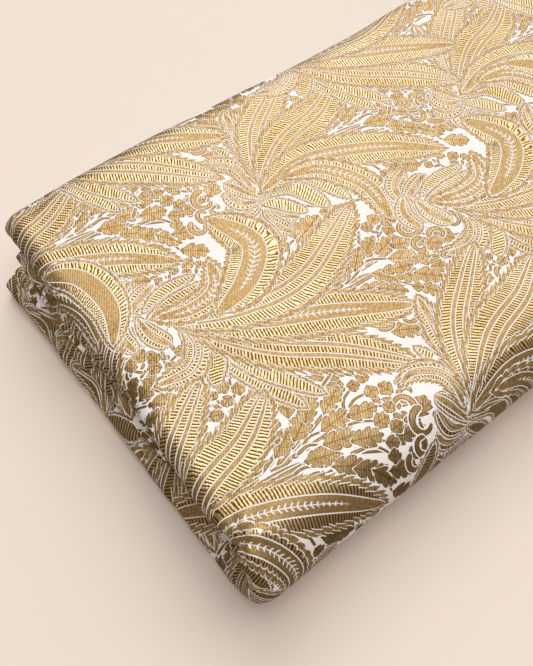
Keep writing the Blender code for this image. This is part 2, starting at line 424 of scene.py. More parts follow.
fanTwo = {
    "leaves": [
        ("leaflet", 17, (-112, -12), (-88, -36)),
        ("leaflet", 14, (-106, -30), (-92, -14)),
        ("petal", 11, (-109, -20), (-104, -5), (-91, 2)),
        ("petal", 11, (-110, -19), (-97, -13), (-82, -8)),
        ("petal", 11, (-104, -14), (-103, -25), (-107, -38)),
        ("petal", 11, (-101, -19), (-101, -33), (-96, -46)),
        ("petal", 10, (-104, -12), (-114, -24), (-113, -38)),
        ("slim", 9, (-98, -20), (-80, -15), (-59, -17)),
        ("slim", 8, (-98, -24), (-80, -23), (-56, -24)),
        ("slim", 12, (-82, -46), (-76, -80), (-63, -119)),
        ("slim", 11, (-80, -48), (-69, -85), (-50, -119)),
        ("slim", 13, (-82, -44), (-81, -62), (-93, -81)),
        ("plain", 16, (-86, -37), (-85, -54), (-97, -64), (-118, -60)),
        ("broad", 27, (-84, -43), (-57, -78), (-28, -103), (1, -135)),
        ("frond", 28, (-88, -39), (-50, -63), (-15, -82), (26, -108)),
        ("broad", 29, (-92, -33), (-55, -50), (-10, -55), (48, -29)),
        ("fern", 17, (-97, -25), (-75, -34), (-56, -31), (-46, -11)),
        ("fern", 29, (-66, -46), (-38, -37), (-20, -18), (-31, 13)),
    ],
    "leaflets": [
        ((21, -66), (38, -57), 8), ((30, -68), (49, -65), 9), ((40, -68), (57, -76), 10),
        ((33, -74), (48, -85), 10), ((19, -76), (29, -91), 9), ((29, -82), (40, -97), 9),
        ((44, -82), (59, -92), 10), ((37, -90), (50, -103), 9), ((52, -72), (67, -65), 8),
        ((56, -84), (69, -90), 8), ((0, -110), (17, -120), 9), ((-5, -99), (4, -108), 7),
        ((-113, -40), (-103, -55), 10), ((-123, -44), (-111, -53), 9), ((-127, -37), (-119, -46), 8),
        ((-52, -124), (-40, -116), 7), ((-100, 2), (-88, 10), 6), ((2, -72), (18, -60), 6),
        ((6, -80), (22, -90), 7), ((14, -85), (27, -98), 7), ((24, -79), (42, -86), 7),
        ((12, -70), (26, -58), 7), ((4, -84), (13, -96), 6), ((48, -93), (64, -103), 8),
        ((34, -97), (41, -111), 7), ((-6, -74), (8, -64), 6),
    ],
    "buds": [
        ((48, -59), 4.2), ((55, -65), 4.2), ((63, -74), 4.5), ((69, -80), 4.0), ((65, -60), 4.0),
        ((46, -48), 4.5), ((51, -54), 4.0), ((39, -50), 4.0), ((35, -44), 3.4), ((57, -101), 4.0),
        ((46, -108), 4.0), ((73, -70), 4.0), ((33, -99), 3.4), ((62, -96), 3.6), ((-90, -81), 3.6),
        ((-99, -79), 3.4), ((-78, -101), 3.2), ((-109, -86), 3.6), ((-92, -99), 3.6),
        ((-103, -100), 3.2), ((-3, -96), 3.4), ((23, -113), 3.4), ((9, -99), 3.2), ((-47, -107), 4.0),
        ((-41, -112), 3.6), ((-35, -107), 3.6), ((-46, -117), 3.4), ((-30, -122), 3.6),
        ((-126, -53), 4.0), ((-116, -60), 3.4), ((-58, -8), 4.0), ((-62, -13), 3.0), ((-53, -13), 3.0),
    ],
    "strokes": [
        (3.4, (-22, -70), (8, -70), (38, -60)),
        (3.6, (-14, -70), (14, -75), (31, -88)),
        (2.8, (0, -70), (35, -71), (60, -73)),
        (2.4, (12, -75), (38, -84), (56, -97)),
        (1.6, (36, -62), (42, -56), (46, -48)),
        (1.3, (-58, -20), (-58, -14), (-58, -8)),
        (1.4, (-100, -70), (-98, -80), (-88, -90)),
        (1.5, (-60, -126), (-48, -116), (-36, -108)),
        (2.4, (-26, -73), (-4, -71), (18, -64), (33, -50)),
        (2.2, (-18, -76), (8, -77), (32, -79), (58, -85)),
        (2.2, (-18, -78), (6, -83), (28, -93), (45, -106)),
        (1.9, (-12, -78), (6, -86), (18, -99)),
    ],
    "scrolls": [
        ((-119, -31), 8.5, 330, -1, 3.0),
        ((-122, -47), 5.5, 60, 1, 2.7),
        ((-109, -47), 5.5, 150, -1, 2.7),
        ((-84, -94), 6.5, 120, -1, 2.7),
        ((-99, -90), 6.0, 30, 1, 2.7),
        ((-93, -103), 5.0, 250, 1, 2.5),
        ((3, -104), 5.5, 200, 1, 2.6),
        ((15, -109), 6.0, 30, -1, 2.6),
        ((60, -56), 5.0, 200, -1, 2.6),
        ((72, -60), 6.0, 20, 1, 2.5),
        ((81, -76), 7.0, 100, -1, 2.6),
        ((74, -90), 6.5, 300, 1, 2.6),
        ((63, -106), 6.0, 60, -1, 2.5),
    ],
}

halfMoon = {
    "leaves": [
        # the half moon itself, then leaves that fill the corner, the front roll and the left crease
        ("moon", 27, (-128, 38), (-111, 20), (-109, -6), (-122, -29)),
        ("plain", 18, (-156, -166), (-140, -186), (-120, -208)),
        ("slim", 13, (-20, -170), (-36, -192), (-35, -222)),
        ("plain", 17, (-146, 4), (-156, -15), (-150, -38)),
        ("plain", 17, (-146, -50), (-156, -70), (-149, -92)),
    ],
}

repeat = {
    "origin": (-0.0704, 0.0388),  # the first fan's base on the cloth, metres
    "along": (336.0, -40.0),
    "across": (4.0, -352.0),
    "margin": 2.5,  # how far beside a motif the sheet's faces are looked at
    "groups": [
        (fanOne, (0, 0)),
        (fanOne, (156, -12)),
        (fanTwo, (0, 0)),
        (fanTwo, (177, -32)),
        (fanTwo, (0, -188)),
        (fanTwo, (177, -214)),
        (fanOne, (-2, -179)),
        (fanOne, (-178, -154)),
        (halfMoon, (0, 0)),
    ],
}

levels = "ABC"  # how many motifs one face of the sheet can show, the uppermost first
noMotif = (0.0, 0.0, -50.0)  # the fields of a face without one: a width far below zero

sprig = {
    "pathSteps": 18,
    "budTurn": (0.7, 0.4),  # radians for each millimetre of its place, so that neighbours differ
    "budWidth": 1.7,
    "strokeTip": 0.55,  # a stroke's width at its tip
    "twigWidth": 1.5,
    "twigReach": (2.0, 22.0),
    "twigBack": 5,  # how many points back along its stem a twig starts
    "twigBend": 0.18,
    "scrollTurn": 1.25 * math.pi,
    "scrollPoints": 22,
    "scrollCurl": (0.6, 1.5),
}


def smoothPath(points):
    # a soft curve through the points
    points = np.array(points, float)
    if len(points) == 2:
        return between(points[0], points[1], np.linspace(0, 1, 7)[:, None])
    padded = np.vstack((2 * points[0] - points[1], points, 2 * points[-1] - points[-2]))
    steps = max(sprig["pathSteps"] // (len(points) - 1), 2)
    t = np.linspace(0, 1, steps + 1)[:-1, None]
    curve = []
    for before, start, end, after in zip(padded, padded[1:], padded[2:], padded[3:]):
        bend = (2 * before - 5 * start + 4 * end - after) * t * t
        twist = (3 * start - 3 * end + after - before) * t**3
        curve.append(0.5 * (2 * start + (end - before) * t + bend + twist))
    return np.vstack(curve + [points[-1:]])


def motif(look, width, path):
    shape = dict(zip(lookParts, looks[look]))
    reach = np.concatenate(([0.0], np.cumsum(np.hypot(*np.diff(path, axis=0).T))))
    share = reach / reach[-1]
    half = share ** shape["swell"] * (1 - share) ** shape["point"]
    return {"look": shape, "path": path, "half": half / half.max() * width / 2 * shape["full"]}


def bud(centre, radius):
    heading = sprig["budTurn"][0] * centre[0] + sprig["budTurn"][1] * centre[1]
    way = radius * np.array((math.cos(heading), math.sin(heading)))
    path = smoothPath((np.array(centre) - way, np.array(centre) + way))
    return motif("bud", sprig["budWidth"] * radius, path)


def stroke(width, path):
    made = motif("stroke", width, path)
    made["half"] = np.linspace(1.0, sprig["strokeTip"], len(path)) * width / 2 * made["look"]["full"]
    return made


def twig(start, stems):
    # a thin stem back from a leaflet or bud to the nearest stem of its sprig
    start = np.array(start, float)
    points = np.vstack(stems)
    reach = np.hypot(*(points - start).T)
    nearest = reach.argmin()
    least, most = sprig["twigReach"]
    if not least < reach[nearest] < most:
        return []
    root = points[max(nearest - sprig["twigBack"], 0)]
    bend = (start + root) / 2 + sprig["twigBend"] * np.array((root[1] - start[1], start[0] - root[0]))
    return [stroke(sprig["twigWidth"], smoothPath((root, bend, start)))]


def scroll(centre, radius, first, hand, width):
    # an open hook that winds in a little
    turns = np.linspace(0, 1, sprig["scrollPoints"])
    shrink, power = sprig["scrollCurl"]
    angle = math.radians(first) + hand * turns * sprig["scrollTurn"]
    reach = radius * (1 - shrink * turns**power)
    return stroke(width, np.array(centre) + np.stack((reach * np.cos(angle), reach * np.sin(angle)), 1))


def chartedMotifs():
    # sprigs and scrolls lie lowest, and the leaves of a fan lie over them
    low, high = [], []
    for group, offset in repeat["groups"]:
        leaflets = group.get("leaflets", [])
        buds = group.get("buds", [])
        made = [stroke(width, smoothPath(points)) for width, *points in group.get("strokes", [])]
        stems = [shape["path"] for shape in made]
        for start, *_ in leaflets + buds:
            made += twig(start, stems)
        made += [motif("leaflet", width, smoothPath((base, tip))) for base, tip, width in leaflets]
        made += [scroll(*row) for row in group.get("scrolls", [])]
        made += [bud(*row) for row in buds]
        leaves = [motif(look, width, smoothPath(points)) for look, width, *points in group["leaves"]]
        for shape in made + leaves:
            shape["path"] = shape["path"] + np.array(offset, float)
        low += made
        high += leaves
    return low + high


def motifFields(points, shape):
    # along the motif, across it with a side, and half its width there, millimetres
    path, half = shape["path"], shape["half"]
    start, step = path[:-1], np.diff(path, axis=0)
    lengths = np.hypot(step[:, 0], step[:, 1])
    reach = np.concatenate(([0.0], np.cumsum(lengths)))
    offset = points[:, None] - start[None]
    free = (offset * step).sum(2) / lengths**2
    gap = offset - np.clip(free, 0, 1)[..., None] * step
    pick = np.hypot(gap[..., 0], gap[..., 1]).argmin(1)
    each = np.arange(len(points))
    free = free[each, pick]
    # past its two ends the middle line runs straight on, and the width goes on shrinking
    beyond = np.where(pick == 0, -free, 0) + np.where(pick == len(step) - 1, free - 1, 0)
    beyond = np.clip(beyond, 0, None)
    share = np.where(beyond > 0, free, np.clip(free, 0, 1))
    gap = offset[each, pick] - share[:, None] * step[pick]
    side = np.sign(step[pick, 0] * gap[:, 1] - step[pick, 1] * gap[:, 0])
    width = between(half[pick], half[pick + 1], np.clip(free, 0, 1)) - beyond * lengths[pick]
    return np.stack((reach[pick] + share * lengths[pick], side * np.hypot(gap[:, 0], gap[:, 1]), width), 1)


def fourCorners(values):
    return np.stack((values[:-1, :-1], values[1:, :-1], values[1:, 1:], values[:-1, 1:]), axis=2)


def wovenFields(u, v):
    # for every face of the sheet's grid: the uppermost motifs there, and their fields at its four corners
    flat = np.stack(((u - repeat["origin"][0]) / mm, (v - repeat["origin"][1]) / mm), axis=2)
    rowHigh, rowLow = flat[..., 0].max(1), flat[..., 0].min(1)
    columnPlace = flat[0, :, 1]
    shapes = chartedMotifs()
    halo = weave["halo"]
    cell = np.array((repeat["along"], repeat["across"]))
    fields = np.zeros((len(levels), len(u) - 1, u.shape[1] - 1, 4, 3), np.float32)
    fields[:] = noMotif
    owner = np.full(fields.shape[:3], -1)
    ends = np.array(list(product((rowLow.min(), rowHigh.max()), columnPlace[[0, -1]])))
    cells = ends @ np.linalg.inv(cell)
    low, high = np.floor(cells.min(0)).astype(int) - 1, np.ceil(cells.max(0)).astype(int) + 1
    for number, shape in enumerate(shapes):
        spread = shape["half"].max() + repeat["margin"]
        least, most = shape["path"].min(0) - spread, shape["path"].max(0) + spread
        for step in product(range(low[0], high[0] + 1), range(low[1], high[1] + 1)):
            move = np.array(step) @ cell
            rows = np.nonzero((rowHigh > least[0] + move[0]) & (rowLow < most[0] + move[0]))[0]
            columns = np.nonzero((columnPlace > least[1] + move[1]) & (columnPlace < most[1] + move[1]))[0]
            if len(rows) < 2 or len(columns) < 2:
                continue
            block = flat[rows[0] : rows[-1] + 1, columns[0] : columns[-1] + 1]
            found = motifFields((block - move).reshape(-1, 2), shape).reshape(*block.shape[:2], 3)
            corner = fourCorners(found)
            across, half = corner[..., 1], corner[..., 2]
            within = (half - np.abs(across)).max(2) > -halo
            crossed = (across.min(2) < 0) & (across.max(2) > 0) & (half.max(2) > -halo)
            near = np.ptp(fourCorners(block)[..., 0], axis=2) < fineness["patternedFace"]
            hit = (within | crossed) & near
            faces = (slice(None), slice(rows[0], rows[-1]), slice(columns[0], columns[-1]))
            spotFields, spotOwner = fields[faces], owner[faces]
            spotFields[1:, hit] = spotFields[:-1, hit]
            spotOwner[1:, hit] = spotOwner[:-1, hit]
            spotFields[0, hit] = corner[hit]
            spotOwner[0, hit] = number
    styles, finishes = [], []
    for number, shape in enumerate(shapes):
        look = shape["look"]
        fernStart = look["fern"] * max(shape["half"].max() * look["lobe"], 1.0)  # millimetres
        styles.append((look["tooth"], look["rim"], look["lobe"]))
        finishes.append((look["ribs"], fernStart, (number * 0.37) % 1))  # the last value is its own tone
    nothing = [(0, 0, 0)]
    print("pattern charted,", len(shapes), "motifs in a repeat")
    return fields, np.array(styles + nothing)[owner], np.array(finishes + nothing)[owner]


def setCorners(mesh, name, values, missing=(0.0, 0.0, 0.0)):
    # values for the first faces, and the missing value for the rest
    spare = len(mesh.loops) - len(values)
    values = np.vstack((values, np.tile(missing, (spare, 1))))
    layer = mesh.attributes.new(name, "FLOAT_VECTOR", "CORNER")
    layer.data.foreach_set("vector", values.astype(np.float32).ravel())


def gridFaces(rowCount, columnCount):
    # the four points of every face, row by row
    index = np.arange(rowCount * columnCount).reshape(rowCount, columnCount)
    return fourCorners(index).reshape(-1, 4)


def borderOf(rowCount, columnCount):
    # the points along the edge of the grid, once round
    index = np.arange(rowCount * columnCount).reshape(rowCount, columnCount)
    return np.concatenate((index[:-1, 0], index[-1, :-1], index[:0:-1, -1], index[0, :0:-1]))


def meshPiece(name, points, faces):
    mesh = bpy.data.meshes.new(name)
    mesh.from_pydata(points.tolist(), [], faces.tolist())
    mesh.polygons.foreach_set("use_smooth", [True] * len(mesh.polygons))
    piece = bpy.data.objects.new(name, mesh)
    bpy.context.scene.collection.objects.link(piece)
    return piece


def settledOnFloor(grid):
    # the middle of the cloth's box goes to the middle of the solid's, and its lowest point to the floor
    box = np.array(cadBox)
    low, high = grid.min((0, 1)), grid.max((0, 1))
    place = (box[0] + box[1]) / 2 - (low + high) / 2
    place[2] = -low[2]
    return grid + place


def faceSheet(front, back, u, v):
    # the outer side, with a narrow rim round it that gives the cloth its thickness
    rowCount, columnCount = front.shape[:2]
    border = borderOf(rowCount, columnCount)
    points = np.vstack((front.reshape(-1, 3), back.reshape(-1, 3)[border]))
    ring = rowCount * columnCount + np.arange(len(border))
    following = np.roll(np.arange(len(border)), -1)
    rim = np.stack((border, ring, ring[following], border[following]), 1)[:, ::-1]
    faces = np.vstack((gridFaces(rowCount, columnCount), rim))
    face = meshPiece("brocade_face", points, faces)
    fields, styles, finishes = wovenFields(u, v)
    for level, letter in enumerate(levels):
        setCorners(face.data, "motif" + letter, fields[level].reshape(-1, 3), noMotif)
        for name, values in (("style", styles), ("finish", finishes)):
            setCorners(face.data, name + letter, np.repeat(values[level].reshape(-1, 3), 4, axis=0))
    place = np.stack((u, v, 0 * u), 2) / mm
    setCorners(face.data, "clothPlace", fourCorners(place).reshape(-1, 3))
    print("face folded,", rowCount, "by", columnCount, "points,", 2 * len(faces), "triangles")
    return face


def reverseSheet(back, u, v):
    # the inner side, with fewer rows and columns
    step, outerEnd = fineness["reverseStep"], fineness["outerRun"]
    rowCount, columnCount = back.shape[:2]
    rows = np.concatenate((np.arange(0, outerEnd, step), np.arange(outerEnd, rowCount)))
    columns = np.unique(np.concatenate((np.arange(0, columnCount, step), [columnCount - 1])))
    kept = np.ix_(rows, columns)
    faces = gridFaces(len(rows), len(columns))[:, ::-1]
    reverse = meshPiece("brocade_reverse", back[kept].reshape(-1, 3), faces)
    place = np.stack((u, v, 0 * u), 2)[kept] / mm
    places = np.stack((place[:-1, :-1], place[:-1, 1:], place[1:, 1:], place[1:, :-1]), 2)
    setCorners(reverse.data, "clothPlace", places.reshape(-1, 3))
    print("reverse folded,", 2 * len(faces), "triangles")
    return reverse


def brocadeSheet():
    grid, layers, apexes = foldedRows()
    grid[..., 0] -= bundle["length"] / 2
    u, v = clothPlaces(grid)
    grid = settledOnFloor(roughened(grid, u, v, layers, apexes))
    grid[..., 2] += bundle["sheet"] / 2
    normal = normalsOf(grid)
    front, back = grid + normal * bundle["sheet"] / 2, grid - normal * bundle["sheet"] / 2
    face = faceSheet(front, back, u, v)
    reverse = reverseSheet(back, u, v)
    sides = np.diff(grid, axis=0)[:, :-1], np.diff(grid, axis=1)[:-1]
    area = np.linalg.norm(np.cross(*sides), axis=2).sum()
    return face, reverse, float(area)


# Materials

colours = {  # as seen on the cloth, display values
    "ground": (250, 246, 244),
    "gold": (203, 172, 116),
    "goldDeep": (114, 76, 30),
    # dark outline colour: partly woven outline, partly painted shade at the edge of the raised gold
    "outlineAndEdgeShade": (108, 70, 26),
    "streak": (244, 222, 172),
    # painted highlight for the rib crests, brighter and dimmer
    "crestHighlight": (236, 215, 172),
    "dimCrestHighlight": (215, 182, 124),
    # painted shade for the rib valleys, lighter and deeper
    "valleyShade": (142, 102, 50),
    "deepValleyShade": (108, 68, 26),
    "reverse": (228, 214, 190),
    "floor": (235, 223, 213),
}

weave = {  # millimetres, or shares
    "softness": 0.16,
    "halo": 0.75,  # white gap that an upper motif leaves round itself
    "whiteLine": 0.68,
    "toothBase": 2.2,
    "toothGrowth": 1.2,
    "toothRise": 0.25,
    "toothWobble": 9.0,
    "innerBite": 0.75,  # how much of the teeth shows in the line inside the rim
    "lean": 0.75,
    "lobeCurve": 2.6,
    # width of the dark outline band, partly painted shade at the raised edge
    "outlineAndEdgeShade": 0.55,
    # on banded leaves the dark outline is a faint painted shade at the raised edge
    "leafOutline": 0.2,  # strength of the outline on banded leaves
    "goldAllOver": 20.0,  # a rim wider than this has no bands inside
    "vein": 0.25,
    "ribPitch": 1.8,
    "ribSlant": 0.3,
    "ribWaver": 0.7,
    "ribCrest": 0.55,
    "ribHeight": 0.2,
    "goldHeight": 0.1,
    "lobeStart": 1.0,
    "middleStart": 2.4,
    "middleShare": 0.42,
    "noFern": 8.5,
    "fernPitch": 3.2,
    "fernLean": 0.7,
    "fernWaver": 0.6,
    "fernShare": 0.27,
    "fernGrowth": 1.8,
    "fernStub": 0.7,
    "spine": 0.25,
    "mottleStart": 4.0,
    "mottle": 0.6,
}


def paint(name):
    def linear(value):
        value /= 255
        return value / 12.92 if value <= 0.04045 else ((value + 0.055) / 1.055) ** 2.4

    return (*(linear(value) for value in colours[name]), 1.0)


socketNames = {
    "colour": "Base Color",
    "specular": "Specular IOR Level",
    "sheen": "Sheen Weight",
    "sheenRough": "Sheen Roughness",
}


class Wiring:
    # short calls for the nodes of one material
    def __init__(self, material):
        material.use_nodes = True
        self.nodes, self.links = material.node_tree.nodes, material.node_tree.links
        self.nodes.clear()

    def node(self, kind, **values):
        made = self.nodes.new(kind)
        for name, value in values.items():
            setattr(made, name, value)
        return made

    def feed(self, socket, value):
        if isinstance(value, bpy.types.NodeSocket):
            self.links.new(value, socket)
        else:
            socket.default_value = value

    def calc(self, operation, *values, clamp=False):
        made = self.node("ShaderNodeMath", operation=operation, use_clamp=clamp)
        for socket, value in zip(made.inputs, values):
            self.feed(socket, value)
        return made.outputs[0]

    def plus(self, first, second, clamp=False):
        return self.calc("ADD", first, second, clamp=clamp)

    def minus(self, first, second):
        return self.calc("SUBTRACT", first, second)

    def times(self, first, second, clamp=False):
        return self.calc("MULTIPLY", first, second, clamp=clamp)

    def scaled(self, value, factor, shift, clamp=False):
        # the value times the factor, plus the shift
        return self.calc("MULTIPLY_ADD", value, factor, shift, clamp=clamp)

    def above(self, value, limit, soft=weave["softness"]):
        # 0 below the limit and 1 above it, with a soft step
        return self.scaled(self.minus(value, limit), 0.5 / soft, 0.5, clamp=True)

    def between(self, first, second, share):
        made = self.node("ShaderNodeMix", data_type="FLOAT")
        for socket, value in zip((made.inputs[0], made.inputs[2], made.inputs[3]), (share, first, second)):
            self.feed(socket, value)
        return made.outputs[0]

    def blend(self, first, second, share):
        made = self.node("ShaderNodeMix", data_type="RGBA")
        for socket, value in zip((made.inputs[0], made.inputs[6], made.inputs[7]), (share, first, second)):
            self.feed(socket, value)
        return made.outputs[2]

    def attribute(self, name):
        return self.node("ShaderNodeAttribute", attribute_name=name).outputs["Vector"]

    def parts(self, vector):
        made = self.node("ShaderNodeSeparateXYZ")
        self.feed(made.inputs[0], vector)
        return made.outputs[0], made.outputs[1], made.outputs[2]

    def noise(self, vector, scale, detail):
        made = self.node("ShaderNodeTexNoise")
        self.feed(made.inputs["Vector"], vector)
        made.inputs["Scale"].default_value = scale
        made.inputs["Detail"].default_value = detail
        return made.outputs["Fac"]

    def relief(self, height, distance):
        made = self.node("ShaderNodeBump")
        made.inputs["Strength"].default_value = 1.0
        made.inputs["Distance"].default_value = distance
        self.feed(made.inputs["Height"], height)
        return made.outputs[0]

    def surface(self, **sockets):
        # the shader, with its sockets linked or set, and the output
        shader = self.node("ShaderNodeBsdfPrincipled")
        for name, value in sockets.items():
            self.feed(shader.inputs[socketNames.get(name, name.capitalize())], value)
        self.feed(self.node("ShaderNodeOutputMaterial").inputs[0], shader.outputs[0])


def motifNodes(w, letter, wobble, uneven):
    # what one level of the pattern shows at each place, and how far inside the motif's edge the place is
    along, across, half = w.parts(w.attribute("motif" + letter))
    tooth, rim, lobe = w.parts(w.attribute("style" + letter))
    ribs, fern, tone = w.parts(w.attribute("finish" + letter))
    off = w.calc("ABSOLUTE", across)
    line = weave["whiteLine"]
    # teeth lean to the tip, widen towards it and drop back, and round lobes swell between notches
    deep = w.calc("ABSOLUTE", tooth)
    leaning = w.plus(w.scaled(off, -weave["lean"], along), wobble)
    pitch = w.scaled(deep, weave["toothGrowth"], weave["toothBase"])
    phase = w.calc("FRACT", w.calc("DIVIDE", leaning, pitch))
    lobed = w.calc("POWER", w.calc("ABSOLUTE", w.scaled(phase, 2.0, -1.0)), weave["lobeCurve"])
    notch = w.between(w.minus(1.0, phase), lobed, w.calc("LESS_THAN", tooth, 0.0))
    depth = w.times(deep, w.times(half, weave["toothRise"], clamp=True))
    bite = w.times(notch, w.times(depth, uneven))
    straightEdge = w.minus(half, off)
    edge = w.minus(straightEdge, bite)
    # bands from the edge inward: plain rim, white line, ribs, white line, lobe
    rimEdge = w.minus(w.scaled(bite, -weave["innerBite"], straightEdge), rim)
    inside = w.above(rimEdge, line)
    firstLine = w.minus(w.above(rimEdge, 0.0), inside)
    lobeHalf = w.times(lobe, half)
    lobeEdge = w.minus(lobeHalf, off)
    hasLobe = w.times(w.above(lobeHalf, weave["lobeStart"], 0.3), inside)
    inLobe = w.times(w.above(lobeEdge, line / 2), hasLobe)
    nearLobe = w.times(w.above(lobeEdge, -line / 2), hasLobe)
    # a wide lobe has a ribbed middle, or a fern
    midEdge = w.minus(w.times(lobeHalf, weave["middleShare"]), off)
    hasMiddle = w.times(w.above(lobeHalf, weave["middleStart"], 0.3), w.above(fern, weave["noFern"]))
    hasMiddle = w.times(hasMiddle, inLobe)
    inMiddle = w.times(w.above(midEdge, line / 2), hasMiddle)
    middleLine = w.minus(w.times(w.above(midEdge, -line / 2), hasMiddle), inMiddle)
    fernDepth = w.minus(lobeHalf, fern)
    arms = w.plus(w.scaled(off, -weave["fernLean"], along), w.times(wobble, weave["fernWaver"]))
    arms = w.above(w.calc("FRACT", w.calc("DIVIDE", arms, weave["fernPitch"])), 1 - weave["fernShare"], 0.08)
    armReach = w.plus(w.times(w.times(fernDepth, weave["fernGrowth"]), uneven), weave["fernStub"])
    arms = w.times(arms, w.above(w.minus(armReach, off), 0.0))
    spine = w.above(w.minus(weave["spine"], off), 0.0)
    leafVein = w.times(w.calc("MAXIMUM", arms, spine), w.times(inLobe, w.above(fernDepth, 0.0)))
    ribbed = w.times(w.plus(w.minus(inside, nearLobe), inMiddle, clamp=True), ribs)
    slanted = w.plus(w.scaled(across, weave["ribSlant"], along), w.times(uneven, weave["ribWaver"]))
    rib = w.calc("FRACT", w.calc("DIVIDE", slanted, weave["ribPitch"]))
    lines = w.plus(w.plus(firstLine, middleLine), w.minus(nearLobe, inLobe))
    bare = w.plus(lines, leafVein, clamp=True)
    onMotif = w.above(edge, 0.0)
    # sprigs are outlined in dark, partly a woven outline and partly painted shade where the raised gold
    # meets the ground, and a dark vein parts their lobes
    allOver = w.above(rim, weave["goldAllOver"])
    fromNotch = w.times(w.minus(0.5, w.calc("ABSOLUTE", w.minus(phase, 0.5))), pitch)
    vein = w.calc("MAXIMUM", w.above(weave["vein"], off), w.above(weave["vein"], fromNotch))
    vein = w.times(w.times(vein, onMotif), w.above(deep, 0.5, 0.2))
    outlineAndEdgeShade = w.minus(onMotif, w.above(edge, weave["outlineAndEdgeShade"]))
    outlineAndEdgeShade = w.times(outlineAndEdgeShade, w.scaled(allOver, 1 - weave["leafOutline"], weave["leafOutline"]))
    mottled = w.times(w.times(inLobe, w.above(lobeHalf, weave["mottleStart"], 1.0)), weave["mottle"])
    shown = {
        "gold": w.times(onMotif, w.minus(1.0, bare)),
        "ribbed": ribbed,
        "roundness": w.calc("SINE", w.times(rib, math.pi)),
        "tone": tone,
        "raised": onMotif,
        "outlineAndEdgeShade": w.calc("MAXIMUM", outlineAndEdgeShade, w.times(vein, allOver)),
        "streaked": w.calc("MAXIMUM", w.times(w.above(edge, weave["outlineAndEdgeShade"]), allOver), mottled),
    }
    return shown, edge


threads = {
    "noises": {  # how fine, for each millimetre, and how much detail
        "wobble": (0.06, 2.0),
        "uneven": (0.11, 2.0),
        "speckle": (0.62, 3.0),
        # slow drift that darkens or lightens the ribs: partly painted reflection, partly random tone
        "reflectionAndToneDrift": (0.022, 2.0),
        "patch": (0.16, 3.0),
        "grain": (3.0, 2.0),
    },
    "floats": {"hatch": (1.6, -0.7), "twill": (0.95, 0.8)},  # pitch in millimetres, and slant
    # below, two numbers are a factor and a shift
    "uneven": (2.6, -0.35),
    "hatchShade": 0.22,
    "speckleShade": 0.5,
    "patchShade": (0.9, -0.38),
    "sprigShade": 0.34,
    "hatchFleck": 0.1,
    "otherFlecks": 0.5,
    "fleckLimit": 0.54,
    "fleckStrength": 0.6,
    "outlineStrength": 0.75,
    "reflectionAndToneDrift": (2.4, -0.95),
    "ownTone": 0.5,  # how much the ribs of one motif differ from another's
    "ribMetal": (-0.22, 1.0),
    "goldMetal": (0.3, 0.5),
    "goldRough": (-0.1, 0.55),
    "ribRough": (-0.12, 0.46),
    "speckleRough": (0.14, -0.07),
    "heights": {"twill": 0.012, "grain": 0.05, "hatch": 0.03, "speckle": 0.16},
    "shader": {"specular": 0.25, "sheen": 0.03, "sheenRough": 0.4},
}


